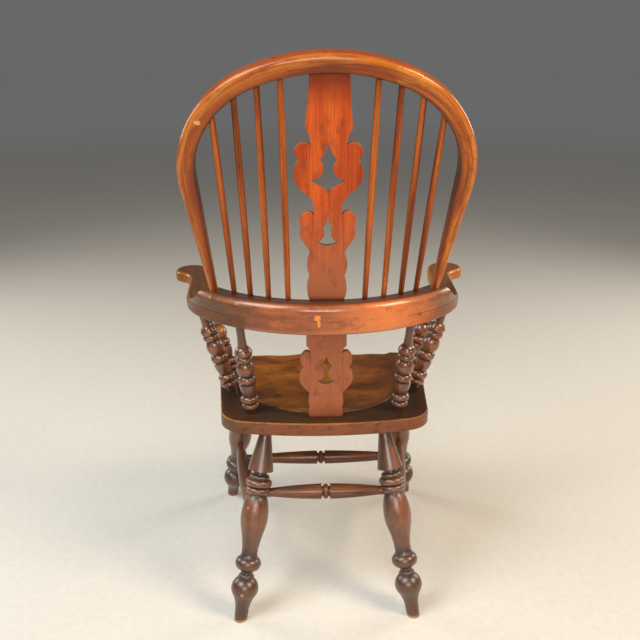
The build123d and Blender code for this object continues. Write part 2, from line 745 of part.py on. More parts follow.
# Upper splat: the board between its ears, pierced by two arrows with a saw cut between them
with BuildPart() as upper_splat:
    with BuildSketch(splat_plane):
        head = (upper_head_half, upper_splat_height - upper_head_straight)
        head_end = upper_splat_height + splat_hoop_tenon
        with BuildLine():
            Polyline((0, -splat_rail_tenon), (upper_foot[0], -splat_rail_tenon), upper_foot)
            ThreePointArc(upper_foot, upper_foot_swell, upper_foot_notch)
            ThreePointArc(upper_foot_notch, upper_bump, upper_low_neck)
            Line(upper_low_neck, upper_low_cusp)
            ThreePointArc(upper_low_cusp, upper_neck, upper_lobe_foot)
            Line(upper_lobe_foot, upper_cusp)
            ThreePointArc(upper_cusp, upper_collar, upper_shoulder)
            ThreePointArc(upper_shoulder, upper_waist, head)
            Polyline(head, (upper_head_half, head_end), (0, head_end))
            mirror(about=Plane.YZ)
        make_face()
        with BuildLine():
            ThreePointArc((0, arrow_tip), arrow_flare, arrow_barb)
            ThreePointArc(arrow_barb, arrow_lobe, arrow_wing)
            ThreePointArc(arrow_wing, arrow_wing_low, arrow_heel)
            ThreePointArc(arrow_heel, arrow_heel_curve, (0, arrow_tail))
            mirror(about=Plane.YZ)
        make_face(mode=Mode.SUBTRACT)
        with BuildLine():
            ThreePointArc((0, low_arrow_tip), low_arrow_flare, low_arrow_barb)
            ThreePointArc(low_arrow_barb, low_arrow_lobe, low_arrow_wing)
            far_wing = (-low_arrow_wing[0], low_arrow_wing[1])
            ThreePointArc(low_arrow_wing, (0, low_arrow_tail), far_wing)
            ThreePointArc(
                far_wing,
                (-low_arrow_lobe[0], low_arrow_lobe[1]),
                (-low_arrow_barb[0], low_arrow_barb[1]),
            )
            ThreePointArc(
                (-low_arrow_barb[0], low_arrow_barb[1]),
                (-low_arrow_flare[0], low_arrow_flare[1]),
                (0, low_arrow_tip),
            )
        make_face(mode=Mode.SUBTRACT)
        with Locations((0, (arrow_tail + low_arrow_tip) / 2)):
            Rectangle(saw_kerf, arrow_tail - low_arrow_tip + 2 * saw_overrun, mode=Mode.SUBTRACT)
    extrude(amount=splat_thickness / 2, both=True)
keep(upper_splat, "upper_splat")

# Lower splat: a shorter board of the same family, pierced by one arrow
with BuildPart() as lower_splat:
    with BuildSketch(lower_plane):
        lower_end = lower_splat_height + lower_splat_rail_tenon
        with BuildLine():
            Polyline((0, -lower_splat_seat_tenon), (lower_foot[0], -lower_splat_seat_tenon), lower_foot)
            ThreePointArc(lower_foot, lower_foot_swell, lower_foot_notch)
            ThreePointArc(lower_foot_notch, lower_bump, lower_neck)
            Line(lower_neck, lower_cusp)
            ThreePointArc(lower_cusp, lower_collar, lower_shoulder)
            Polyline(lower_shoulder, (lower_shoulder[0], lower_end), (0, lower_end))
            mirror(about=Plane.YZ)
        make_face()
        with BuildLine():
            ThreePointArc((0, lower_arrow_tip), lower_arrow_flare, lower_arrow_barb)
            ThreePointArc(lower_arrow_barb, lower_arrow_lobe, lower_arrow_wing)
            far_wing = (-lower_arrow_wing[0], lower_arrow_wing[1])
            ThreePointArc(lower_arrow_wing, (0, lower_arrow_tail), far_wing)
            ThreePointArc(
                far_wing,
                (-lower_arrow_lobe[0], lower_arrow_lobe[1]),
                (-lower_arrow_barb[0], lower_arrow_barb[1]),
            )
            ThreePointArc(
                (-lower_arrow_barb[0], lower_arrow_barb[1]),
                (-lower_arrow_flare[0], lower_arrow_flare[1]),
                (0, lower_arrow_tip),
            )
        make_face(mode=Mode.SUBTRACT)
    extrude(amount=splat_thickness / 2, both=True)
keep(lower_splat, "lower_splat")


def ear(plane, foot, lobe_start, lobe, notch, ear_side, ear_top, crown, cusp):
    """Ear glued to a splat board's straight side, from the seam's foot round to its cusp."""
    seam_foot = (foot[0] + glue_gap, foot[1])
    seam_cusp = (cusp[0] + glue_gap, cusp[1])
    with BuildPart() as piece:
        with BuildSketch(plane):
            with BuildLine():
                Line(seam_foot, lobe_start)
                ThreePointArc(lobe_start, lobe, notch)
                ThreePointArc(notch, ear_side, ear_top)
                ThreePointArc(ear_top, crown, seam_cusp)
                Line(seam_cusp, seam_foot)
            make_face()
        extrude(amount=splat_thickness / 2, both=True)
    return piece


top_ear = ear(
    splat_plane,
    upper_lobe_foot,
    upper_lobe_start,
    upper_lobe,
    upper_notch,
    upper_ear,
    upper_ear_top,
    upper_crown,
    upper_cusp,
)
keep_pair(top_ear, "splat_top_ear")
middle_ear = ear(
    splat_plane,
    upper_low_neck,
    upper_low_lobe_start,
    upper_low_lobe,
    upper_low_notch,
    upper_low_ear,
    upper_low_ear_top,
    upper_low_crown,
    upper_low_cusp,
)
keep_pair(middle_ear, "splat_middle_ear")
lower_ear_piece = ear(
    lower_plane,
    lower_neck,
    lower_lobe_start,
    lower_lobe,
    lower_notch,
    lower_ear,
    lower_ear_top,
    lower_crown,
    lower_cusp,
)
keep_pair(lower_ear_piece, "splat_lower_ear")
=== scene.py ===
# %% [markdown]
# # A windsor armchair: looks for a finished frame
#
# The chair is a high hoop-back windsor, seen from behind: a bent hoop and a pierced splat stand on a
# bow of two arms and a back rail, and turned posts and legs hold up a dished plank seat. The solids
# are finished already, so this lesson gives them their looks: soft worn edges on the boards, and old
# polish over grain that follows each piece. We start by loading the frame. All lengths are in metres,
# and X points to the chair's left.

# %% Load the frame
from math import acos, atan2, cos, hypot, pi, radians, sin, sqrt

import bpy
import numpy as np
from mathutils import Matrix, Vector


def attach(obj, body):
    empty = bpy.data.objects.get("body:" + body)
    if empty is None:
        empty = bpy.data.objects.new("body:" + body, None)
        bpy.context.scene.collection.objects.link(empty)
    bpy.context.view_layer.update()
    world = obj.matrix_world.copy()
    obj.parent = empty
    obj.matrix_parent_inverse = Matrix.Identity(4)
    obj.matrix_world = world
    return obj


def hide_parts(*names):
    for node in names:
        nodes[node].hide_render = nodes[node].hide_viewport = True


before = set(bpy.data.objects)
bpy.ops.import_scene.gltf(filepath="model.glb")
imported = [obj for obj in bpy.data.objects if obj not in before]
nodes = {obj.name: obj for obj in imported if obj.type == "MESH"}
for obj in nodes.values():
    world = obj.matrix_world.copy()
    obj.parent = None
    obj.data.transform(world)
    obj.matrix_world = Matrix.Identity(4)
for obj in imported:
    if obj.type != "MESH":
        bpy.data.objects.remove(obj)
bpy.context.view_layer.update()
print("pieces in the frame:", len(nodes))

# %% [markdown]
# ## Camera
#
# The viewer stands behind the chair, a little to its left, and looks down at it. A long lens would
# flatten the rake of the back, so the lens is the one that gives the seat, the feet and the hoop
# their true sizes together.

# %% Camera behind the chair
eye = (0.065, 1.6304, 1.1317)
look_down = 0.318
look_aside = 0.036
lean = -0.002
bpy.ops.object.camera_add(location=eye, rotation=(pi / 2 - look_down, 0, pi - look_aside))
camera = bpy.context.object
camera.rotation_euler.rotate_axis("Z", lean)
camera.data.sensor_fit = "HORIZONTAL"
camera.data.sensor_width = 36
camera.data.lens = 44.65
bpy.context.scene.camera = camera
bpy.context.scene.view_settings.view_transform = "Standard"
print("camera at", tuple(round(value, 3) for value in camera.location))

# %% [markdown]
# ## A small language for finishes
#
# Node trees are easier to read as arithmetic than as boxes and cables. A `Wire` is one value on its
# way through a finish, and sums and products of wires add the Math nodes. A `Finish` is a material,
# with one method that adds any other node. Colours and vectors never go through a Math node, because
# that turns them grey.


# %% Wires
class Wire:
    """One value on its way between nodes."""

    def __init__(self, finish, socket):
        self.finish = finish
        self.socket = socket

    def worked(self, operation, first, second):
        return self.finish.node("ShaderNodeMath", {"operation": operation}, {0: first, 1: second})

    def __add__(self, other):
        return self.worked("ADD", self, other)

    def __radd__(self, other):
        return self.worked("ADD", other, self)

    def __sub__(self, other):
        return self.worked("SUBTRACT", self, other)

    def __rsub__(self, other):
        return self.worked("SUBTRACT", other, self)

    def __mul__(self, other):
        return self.worked("MULTIPLY", self, other)

    def __rmul__(self, other):
        return self.worked("MULTIPLY", other, self)

    def __abs__(self):
        return self.finish.node("ShaderNodeMath", {"operation": "ABSOLUTE"}, {0: self})


print("wires can be added, subtracted, multiplied and made positive")


# %% Finishes
class Finish:
    """A material on the bench, and the one method that adds a node to it."""

    def __init__(self, name):
        self.material = bpy.data.materials.new(name)
        self.material.use_nodes = True
        self.tree = self.material.node_tree
        self.shader = self.tree.nodes["Principled BSDF"]

    def node(self, kind, settings, values, output=0):
        made = self.tree.nodes.new(kind)
        for setting, value in settings.items():
            if setting == "stops":
                fill_ramp(made.color_ramp, value)
            else:
                setattr(made, setting, value)
        for place, value in values.items():
            self.feed(made.inputs[place], value)
        return Wire(self, made.outputs[output])

    def feed(self, socket, value):
        if isinstance(value, Wire):
            self.tree.links.new(value.socket, socket)
        else:
            socket.default_value = value


def fill_ramp(ramp, stops):
    """Sets the stops of a colour ramp, each a place and a colour."""
    while len(ramp.elements) < len(stops):
        ramp.elements.new(1.0)
    for element, (place, colour) in zip(ramp.elements, stops):
        element.position = place
        element.color = colour


print("finishes can be made")

# %% [markdown]
# ### Colours and places
#
# A few helpers say what the finishes need in a maker's words. The first ones give a colour, a grey
# for masks, where a point is on the chair, which way its surface faces, and lengths along and across.


# %% Colours and places
def paint(red, green, blue):
    return (red, green, blue, 1.0)


def grey(value):
    return (value, value, value, 1.0)


def chair_place(finish):
    """Where a point is on the chair."""
    return finish.node("ShaderNodeTexCoord", {}, {}, output="Object")


def facing(finish):
    """Which way the surface faces."""
    return finish.node("ShaderNodeNewGeometry", {}, {}, output="Normal")


def part_of(where, axis):
    """One of the three numbers of a vector: X, Y or Z."""
    return where.finish.node("ShaderNodeSeparateXYZ", {}, {0: where}, output=axis)


def along_way(where, direction):
    """How far a vector goes in a direction."""
    settings = {"operation": "DOT_PRODUCT"}
    return where.finish.node("ShaderNodeVectorMath", settings, {0: where, 1: direction}, output="Value")


def length_of(first, second):
    """Length of a flat vector given by two numbers."""
    flat = first.finish.node("ShaderNodeCombineXYZ", {}, {0: first, 1: second})
    return first.finish.node("ShaderNodeVectorMath", {"operation": "LENGTH"}, {0: flat}, output="Value")


print("helpers for colours and places are ready")

# %% [markdown]
# ### Masks and layers
#
# The others make masks, which are numbers from 0 to 1: a soft step, a soft line, a round spot, the
# patches of a noise that is stretched along the grain, smudges, and a torn chip. One more lays a
# colour over another. A Mix node has sockets for numbers, vectors and colours, so the ones for
# colours are picked by their numbers.


# %% Masks and layers
def step(value, start, end):
    """0 up to the start and 1 from the end, with a soft change. The other way round if end is less."""
    settings = {"interpolation_type": "SMOOTHSTEP"}
    return value.finish.node("ShaderNodeMapRange", settings, {0: value, 1: start, 2: end})


def line(value, place, width):
    """1 where a value is at a place, and 0 beyond a width each side of it."""
    return step(abs(value - place), width, 0.0)


def spot(where, centre, size, soft=0.6):
    """1 at a point and 0 beyond a size, which may differ along X, Y and Z."""
    finish = where.finish
    away = finish.node("ShaderNodeVectorMath", {"operation": "SUBTRACT"}, {0: where, 1: centre})
    away = finish.node("ShaderNodeVectorMath", {"operation": "DIVIDE"}, {0: away, 1: size})
    reach = finish.node("ShaderNodeVectorMath", {"operation": "LENGTH"}, {0: away}, output="Value")
    return step(reach, 1.0, 1.0 - soft)


def stretched_noise(where, cells, detail=3.0, roughness=0.6):
    """Noise with so many cells to the metre across, through and along."""
    finish = where.finish
    laid = finish.node("ShaderNodeVectorMath", {"operation": "MULTIPLY"}, {0: where, 1: cells})
    values = {"Vector": laid, "Scale": 1.0, "Detail": detail, "Roughness": roughness}
    return finish.node("ShaderNodeTexNoise", {}, values)


def patches(where, cells, start, end, detail=3.0, roughness=0.6):
    """1 where a noise is above the end, 0 where it is below the start."""
    return step(stretched_noise(where, cells, detail, roughness), start, end)


def smudges_on(where, cells, start, end):
    """Patches with fine, broken edges."""
    return patches(where, cells, start, end, detail=4.0, roughness=0.65)


def chip(where, centre, size):
    """A spot with torn edges."""
    torn = stretched_noise(where, (420, 420, 420))
    return step(spot(where, centre, size, soft=0.9) * torn, 0.20, 0.29)


def over(below, above, share):
    """One colour laid over another, by a share from 0 to 1."""
    settings = {"data_type": "RGBA", "blend_type": "MIX"}
    return share.finish.node("ShaderNodeMix", settings, {0: share, 6: below, 7: above}, output=2)


def ramp(value, stops):
    """Colours along a value from 0 to 1."""
    return value.finish.node("ShaderNodeValToRGB", {"stops": stops}, {0: value})


print("helpers for masks and layers are ready")

# %% [markdown]
# ## Old polished wood
#
# All the wood on the chair was stained and polished long ago, and rubbed since. Close up that is five
# things: a broad figure, fine fibres, short dark pores, patches where the polish has darkened, and
# relief that follows the fibres. A single noise would look like marble, so each has its own noise, and
# all of them are stretched along the grain. Every piece therefore has its own board coordinates:
# across, through and along the grain.

# %% The wood
fibre_cells = (420, 420, 9)
pore_cells = (900, 900, 46)
cloud_cells = (11, 11, 6)
log_shift = (0.37, 0.61, 1.3)
figure_part = 0.6
fibre_part = 0.4
pore_share = 0.45
polish_roughness = 0.32


def board_on(finish, place, along):
    """Board coordinates of a straight piece that runs along a direction from a place."""
    turn = Vector(along).to_track_quat("Z", "Y").to_euler()
    values = {"Vector": chair_place(finish), "Location": place, "Rotation": turn}
    return finish.node("ShaderNodeMapping", {"vector_type": "TEXTURE"}, values)


def shifted(board, seed):
    """The same grain from another part of the log."""
    values = {0: board, 1: tuple(shift * seed for shift in log_shift)}
    return board.finish.node("ShaderNodeVectorMath", {"operation": "ADD"}, values)


def old_wood(board, tones, seed, figure_cells, cloud_share):
    """Colour, roughness and relief of old polished wood."""
    log = shifted(board, seed)
    figure = patches(log, figure_cells, 0.32, 0.68, roughness=0.55)
    fibre = patches(log, fibre_cells, 0.28, 0.72, detail=4.0, roughness=0.65)
    pores = patches(log, pore_cells, 0.6, 0.72, detail=2.0, roughness=0.5)
    clouds = patches(log, cloud_cells, 0.45, 0.7)
    tone = figure * figure_part + fibre * fibre_part
    colour = ramp(tone, [(0.08, tones["dark"]), (0.5, tones["mid"]), (0.95, tones["light"])])
    colour = over(colour, tones["dark"], clouds * cloud_share)
    colour = over(colour, tones["pore"], pores * pore_share)
    roughness = polish_roughness + fibre * 0.07 + clouds * 0.1
    relief = fibre * 0.6 - pores * 0.8
    return colour, roughness, relief


print("wood with figure, fibres, pores and clouds is ready")

# %% [markdown]
# ### Marks and polish
#
# The layers travel together as a colour, a roughness and a relief, and marks are laid over them one by
# one. A stain changes the colour alone. Bare wood is also rougher and lies a little lower, and dirt is
# dark and dull; the same dark, dull layer also paints shade where some marks call for it. The polish is
# the shader's clear coat: weak on boards that went dull, strong on turnings that still shine. On the
# hoop, the bow and the slim rounds the wood under the coat has little shine of its own, because two
# reflections of a pale floor would make it milky.

# %% Marks and polish
dirt_and_shade_tone = paint(0.010, 0.006, 0.004)
relief_strength = 0.35
relief_depth = 0.00025


def stain(layers, mark, colour, share=1.0):
    """Another tone in the polish where a mark is."""
    below, roughness, relief = layers
    return over(below, colour, mark * share), roughness, relief


def bare(layers, mark, colour, share):
    """Wood rubbed or chipped through the polish where a mark is."""
    below, roughness, relief = layers
    shown = mark * share
    return over(below, colour, shown), roughness + shown * 0.25, relief - shown * 0.6


def dirt_and_shade(layers, mark, share):
    """Dark old polish and dust where a mark is; some marks use it as painted shade."""
    below, roughness, relief = layers
    shown = mark * share
    return over(below, dirt_and_shade_tone, shown), roughness + shown * 0.2, relief


def polish(finish, layers, coat, shine, haze):
    """Feeds the layers to the shader, under a clear coat of polish with some haze."""
    colour, roughness, relief = layers
    shader = finish.shader.inputs
    finish.feed(shader["Base Color"], colour)
    finish.feed(shader["Roughness"], roughness)
    shader["Coat Weight"].default_value = coat
    shader["Coat Roughness"].default_value = haze
    shader["Specular IOR Level"].default_value = shine
    values = {"Strength": relief_strength, "Distance": relief_depth, "Height": relief}
    finish.feed(shader["Normal"], finish.node("ShaderNodeBump", {}, values))
    return finish.material


def wear(piece, material):
    """Gives a piece one finish."""
    piece.data.materials.clear()
    piece.data.materials.append(material)


print("marks and polish are ready")

# %% [markdown]
# ## Boards with soft edges
#
# The pierced splats and the ears glued to their sides were sawn from thin board, and the seat is a
# thick plank with a dish cut into it. Long use has taken the sharpness off all of them. A bump map
# could fake that, but not at the outline, so each board is copied, its loose triangles are merged, its
# flat faces are made whole again, and a small bevel rounds the edges that turn by more than a third of
# a right angle. Points that the bevel leaves on top of each other are merged at the end.

# %% Worn boards
same_point = 0.00001
flat_angle = radians(0.5)
rounded_angle = radians(30)
smooth_angle = radians(35)


def worn_board(node_name, width):
    """A copy of a sawn board with its edges rounded, in place of the crisp one."""
    bpy.ops.object.select_all(action="DESELECT")
    source = nodes[node_name]
    piece = source.copy()
    piece.data = source.data.copy()
    piece.name = f"worn_{node_name}"
    bpy.context.scene.collection.objects.link(piece)
    piece.select_set(True)
    bpy.context.view_layer.objects.active = piece
    bpy.ops.object.mode_set(mode="EDIT")
    bpy.ops.mesh.select_all(action="SELECT")
    bpy.ops.mesh.remove_doubles(threshold=same_point)
    bpy.ops.mesh.dissolve_limited(angle_limit=flat_angle)
    bpy.ops.object.mode_set(mode="OBJECT")
    bpy.ops.mesh.customdata_custom_splitnormals_clear()
    rounding = piece.modifiers.new("worn edges", "BEVEL")
    rounding.width = width
    rounding.segments = 3
    rounding.limit_method = "ANGLE"
    rounding.angle_limit = rounded_angle
    rounding.harden_normals = False
    bpy.ops.object.modifier_apply(modifier=rounding.name)
    bpy.ops.object.mode_set(mode="EDIT")
    bpy.ops.mesh.select_all(action="SELECT")
    bpy.ops.mesh.remove_doubles(threshold=same_point)
    bpy.ops.mesh.dissolve_degenerate(threshold=same_point)
    bpy.ops.object.mode_set(mode="OBJECT")
    bpy.ops.object.shade_smooth_by_angle(angle=smooth_angle)
    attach(piece, "root")
    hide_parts(node_name)
    return piece


splat_edge = 0.0009
splat_names = ["upper_splat", "lower_splat"]
for level in ("top", "middle", "lower"):
    splat_names += [f"splat_{level}_ear_left", f"splat_{level}_ear_right"]
worn_splats = {name: worn_board(name, splat_edge) for name in splat_names}
print("worn boards:", {name: len(piece.data.polygons) for name, piece in worn_splats.items()})

# %% [markdown]
# ## Finish of the splats
#
# The boards are the reddest wood on the chair, close-grained and upright. The red is deep under the
# hoop, brightest below it, and paler towards the seat. The sawn edges took less stain and are duller
# than the faces, so a mask reads how far the surface turns away from the face of the board. The boards
# are darker where they enter the rail and the seat.

# %% Splat finishes
splat_tones = {
    "dark": paint(0.27, 0.030, 0.004),
    "mid": paint(0.46, 0.062, 0.006),
    "light": paint(0.62, 0.110, 0.012),
    "pore": paint(0.16, 0.020, 0.004),
}
deep_red = paint(0.20, 0.022, 0.005)
pale_red = paint(0.33, 0.110, 0.048)
smudge_tone = paint(0.15, 0.040, 0.014)
sawn_tone = paint(0.24, 0.135, 0.075)
splat_middle = (0, 0.18, 0.69)
upper_lean = (0.0, 0.2423, 0.9702)
lower_lean = (0.0, 0.1943, 0.981)
rail_level = 0.694
seat_level = 0.432


def splat_finish(name, lean_up, seed):
    finish = Finish(name)
    board = board_on(finish, splat_middle, lean_up)
    place = chair_place(finish)
    height = part_of(place, "Z")
    under_hoop = step(height, 1.045, 1.105)
    towards_seat = step(height, 0.92, 0.70)
    smudges = smudges_on(place, (55, 55, 28), 0.50, 0.72)
    square_on = abs(along_way(facing(finish), (0.0, lean_up[2], -lean_up[1])))
    sawn_edges = step(square_on, 0.75, 0.3)
    layers = old_wood(board, splat_tones, seed, figure_cells=(26, 26, 3.0), cloud_share=0.25)
    layers = stain(layers, under_hoop, deep_red, share=0.85)
    layers = stain(layers, towards_seat, pale_red, share=0.85)
    layers = stain(layers, smudges, smudge_tone, share=0.55)
    layers = bare(layers, sawn_edges, sawn_tone, share=0.75)
    layers = dirt_and_shade(layers, line(height, rail_level, width=0.010), share=0.85)
    layers = dirt_and_shade(layers, line(height, seat_level, width=0.005), share=0.7)
    return polish(finish, layers, coat=0.06, shine=0.2, haze=0.25)


for number, (name, piece) in enumerate(worn_splats.items()):
    lean_up = lower_lean if "lower" in name else upper_lean
    wear(piece, splat_finish(f"{name}_polish", lean_up, seed=1 + 0.13 * number))
print("splat finishes:", len(worn_splats))

# %% [markdown]
# ## Finish of the hoop
#
# The hoop was bent from one long straight stick, so its grain runs round with it. A straight grain
# would cut across the bend and look like a sawn hoop. Its middle line is a wide arc between two
# tighter shoulder arcs and two straight legs. For any point we work out how far outside that line it
# lies, and use that as the coordinate across the grain. First come the sizes of the arcs.

# %% Shape of the hoop
hoop_base = (0.0, 0.1017, 0.694)
hoop_rake = radians(23.5)
top_radius = 0.330
shoulder_radius = 0.195
rise = 0.4745
half_width = 0.2495
foot_half = 0.221
top_middle = rise - top_radius
shoulder_x = half_width - shoulder_radius
shoulder_y = top_middle + sqrt((top_radius - shoulder_radius) ** 2 - shoulder_x**2)
shoulder_turn = atan2(shoulder_y - top_middle, shoulder_x)
foot_reach = hypot(foot_half - shoulder_x, shoulder_y)
leg_turn = atan2(-shoulder_y, foot_half - shoulder_x) + acos(shoulder_radius / foot_reach)
print("hoop shoulders at", round(shoulder_x, 4), round(shoulder_y, 4))

# %% [markdown]
# ### Grain of the hoop
#
# Each stretch has its own distance from the middle line, and two masks choose the stretch that a point
# belongs to, with a narrow blend at the joints. The coordinate along the grain is an angle about a
# point inside the hoop, times a mean radius, which is near enough for long fibres.

# %% Grain of the hoop
joint_blend = 0.001
bend_middle = 0.2
bend_radius = 0.28


def hoop_board(finish):
    """Board coordinates of the bent hoop: out from its middle line, through it, and round it."""
    turn = (pi / 2 - hoop_rake, 0, 0)
    values = {"Vector": chair_place(finish), "Location": hoop_base, "Rotation": turn}
    flat = finish.node("ShaderNodeMapping", {"vector_type": "TEXTURE"}, values)
    side = part_of(flat, "X")
    x = abs(side)
    y = part_of(flat, "Y")
    up_top = y - top_middle
    past_shoulder = x - shoulder_x
    up_shoulder = y - shoulder_y
    from_top = length_of(x, up_top) - top_radius
    from_shoulder = length_of(past_shoulder, up_shoulder) - shoulder_radius
    from_leg = past_shoulder * cos(leg_turn) + up_shoulder * sin(leg_turn) - shoulder_radius
    above_joint = up_top * cos(shoulder_turn) - x * sin(shoulder_turn)
    below_joint = up_shoulder * cos(leg_turn) - past_shoulder * sin(leg_turn)
    on_top = step(above_joint, -joint_blend, joint_blend)
    on_leg = step(below_joint, joint_blend, -joint_blend)
    out = from_top * on_top + from_leg * on_leg + from_shoulder * (1 - on_top - on_leg)
    turned = finish.node("ShaderNodeMath", {"operation": "ARCTAN2"}, {0: side, 1: y - bend_middle})
    parts = {0: out, 1: part_of(flat, "Z"), 2: turned * bend_radius}
    return finish.node("ShaderNodeCombineXYZ", {}, parts)


hoop_finish = Finish("hoop_polish")
hoop_grain = hoop_board(hoop_finish)
print("nodes for the bent grain:", len(hoop_finish.tree.nodes))

# %% [markdown]
# ### Wood of the hoop
#
# The same coordinate tells the golden back face from the redder outer face and the dark inner side.
# The outer face, the inner half of the back face and the inner side are painted darker, as shade. The
# face is redder on the chair's left, and a broken golden band and the outer corner show where hands
# have rubbed it; the paler outer corner is also a painted highlight.

# %% Hoop wood
hoop_tones = {
    "dark": paint(0.16, 0.026, 0.003),
    "mid": paint(0.37, 0.078, 0.006),
    "light": paint(0.60, 0.190, 0.022),
    "pore": paint(0.12, 0.026, 0.006),
}
hoop_red_tone = paint(0.33, 0.060, 0.006)
hoop_outer_shade_tone = paint(0.24, 0.050, 0.013)
hoop_dark_and_shade_tone = paint(0.13, 0.026, 0.008)
gold_and_highlight = paint(0.70, 0.27, 0.045)
place = chair_place(hoop_finish)
out = part_of(hoop_grain, "X")
through = part_of(hoop_grain, "Y")
across = part_of(place, "X")
left_half = step(across, 0.02, 0.13)
outer_face_shade = step(out, 0.011, 0.0155)
inner_half_shade = step(out, -0.003, -0.0150)
inner_side_shade = step(out, -0.0125, -0.0155)
worn_band = line(out, 0.005, width=0.009) * patches(hoop_grain, (130, 130, 9), 0.42, 0.62)
worn_and_lit_corner = step(out - through, 0.0222, 0.0258) * patches(hoop_grain, (50, 50, 14), 0.36, 0.6)
smudges = smudges_on(hoop_grain, (70, 70, 30), 0.52, 0.74)
layers = old_wood(hoop_grain, hoop_tones, seed=0.7, figure_cells=(75, 75, 5.0), cloud_share=0.6)
layers = stain(layers, left_half, hoop_red_tone, share=0.4)
# Painted shade: the outer face is made a darker red.
layers = stain(layers, outer_face_shade, hoop_outer_shade_tone, share=0.7)
# Painted shade: the inner half of the back face is darkened.
layers = stain(layers, inner_half_shade, hoop_dark_and_shade_tone, share=0.8)
# Painted shade: the inner side is darkened further.
layers = dirt_and_shade(layers, inner_side_shade, share=0.65)
layers = stain(layers, worn_band, gold_and_highlight, share=0.4)
# Partly painted highlight: the paler worn outer corner also stands for its highlight.
layers = bare(layers, worn_and_lit_corner, gold_and_highlight, share=0.3)
layers = stain(layers, smudges, hoop_dark_and_shade_tone, share=0.6)
print("hoop nodes before its marks:", len(hoop_finish.tree.nodes))

# %% [markdown]
# ### Marks on the hoop
#
# The old stick has marks of its own: a dark stain at the top, golden streaks to the right of it, a chip
# on the left shoulder, a nick on the right one, and on the right a dark slanting line, as of a glued
# joint or crack. Each is a spot or a line at its own place, so it stays there from every side.

# %% Hoop marks
bare_wood = paint(0.46, 0.24, 0.095)
yellow_wood = paint(0.68, 0.42, 0.13)
top_stain = spot(place, (-0.003, 0.306, 1.122), (0.026, 0.02, 0.008))
streaks = patches(hoop_grain, (260, 260, 12), 0.45, 0.6, detail=2.0)
golden_streaks = spot(place, (-0.135, 0.298, 1.104), (0.036, 0.02, 0.016)) * streaks
left_chip = chip(place, (0.2201, 0.266, 1.0304), (0.010, 0.010, 0.007))
right_nick = spot(place, (-0.2516, 0.2455, 0.9864), (0.003, 0.006, 0.003))
seam_across = (0.643, -0.305, -0.703)
seam_place = -0.9147
seam_side = step(across, -0.20, -0.205)
seam = line(along_way(place, seam_across), seam_place, width=0.0011) * seam_side
layers = stain(layers, top_stain, hoop_dark_and_shade_tone, share=0.55)
layers = bare(layers, golden_streaks, gold_and_highlight, share=0.6)
layers = bare(layers, left_chip, yellow_wood, share=0.8)
layers = bare(layers, right_nick, bare_wood, share=0.9)
layers = dirt_and_shade(layers, seam, share=0.5)
wear(nodes["hoop"], polish(hoop_finish, layers, coat=0.55, shine=0.03, haze=0.13))
print("hoop nodes:", len(hoop_finish.tree.nodes))

# %% [markdown]
# ## Finish of the arm bow
#
# The back rail and the arms were sawn from plank, so their grain is straight: across the chair in the
# rail, and from back to front in the arms. Behind, the bow is orange red, brightest right of the
# middle, partly as painted light of a warm lamp on that side, and darker towards both ends; the
# greenish dark at the left end is a painted reflection of a dark wall, and shade. The arms' ends show
# below the rail in the lap joints and were polished with it, so one function makes that wood for all
# three.

# %% Wood of the bow
rail_tones = {
    "dark": paint(0.17, 0.042, 0.014),
    "mid": paint(0.32, 0.078, 0.022),
    "light": paint(0.45, 0.125, 0.036),
    "pore": paint(0.08, 0.022, 0.010),
}
rail_smudge_and_reflection_tone = paint(0.075, 0.026, 0.011)
rail_left_reflection_tone = paint(0.068, 0.038, 0.017)
rail_right_tone = paint(0.15, 0.074, 0.036)
rail_bright_lit_tone = paint(0.66, 0.185, 0.050)
rail_middle = (0, 0.2, 0.66)
across_chair = (1, 0, 0)


def bow_wood(finish):
    """Wood of the back of the bow."""
    place = chair_place(finish)
    across = part_of(place, "X")
    board = board_on(finish, rail_middle, across_chair)
    bright_lit_place = line(across, -0.115, width=0.135)
    left_end = step(across, 0.09, 0.20)
    right_end = step(across, -0.175, -0.25)
    smudges = smudges_on(place, (30, 30, 60), 0.50, 0.74)
    layers = old_wood(board, rail_tones, seed=0.4, figure_cells=(45, 45, 2.5), cloud_share=0.45)
    # Partly painted light: the bright place right of the middle also stands for a warm lamp on that
    # side.
    layers = stain(layers, bright_lit_place, rail_bright_lit_tone, share=0.85)
    # Painted reflection of a dark wall, and shade: the left end is darkened and greened.
    layers = stain(layers, left_end, rail_left_reflection_tone, share=0.8)
    layers = stain(layers, right_end, rail_right_tone, share=0.8)
    return stain(layers, smudges, rail_smudge_and_reflection_tone, share=0.6)


rail_finish = Finish("rail_polish")
layers = bow_wood(rail_finish)
print("nodes of the bow's wood:", len(rail_finish.tree.nodes))

# %% [markdown]
# ### Marks on the rail
#
# The rail's top is painted dark, as a reflection of dark surroundings, its lower edge is paler, and its
# upper arris is worn thin. Near the middle a splinter has come off in two pieces and shows fresh wood,
# and two rubbed places lie on the left of the arris.

# %% Rail marks
rail_edge_tone = paint(0.36, 0.15, 0.07)
fresh_wood = paint(0.80, 0.26, 0.030)
arm_level = 0.634
splinters = [
    ((0.0189, 0.216, 0.669), (0.011, 0.03, 0.010)),
    ((0.0160, 0.216, 0.658), (0.006, 0.03, 0.013)),
]
rubbed_places = ((0.2298, 0.1211, 0.6854), (0.1738, 0.1661, 0.684))
rubbed_size = (0.010, 0.008, 0.006)
place = chair_place(rail_finish)
height = part_of(place, "Z")
upward = part_of(facing(rail_finish), "Z")
rail_top_reflection = step(upward, 0.75, 0.97)
lower_edge = step(height, arm_level + 0.009, arm_level + 0.003)
arris = line(upward, 0.5, width=0.45) * patches(place, (40, 40, 40), 0.36, 0.6)
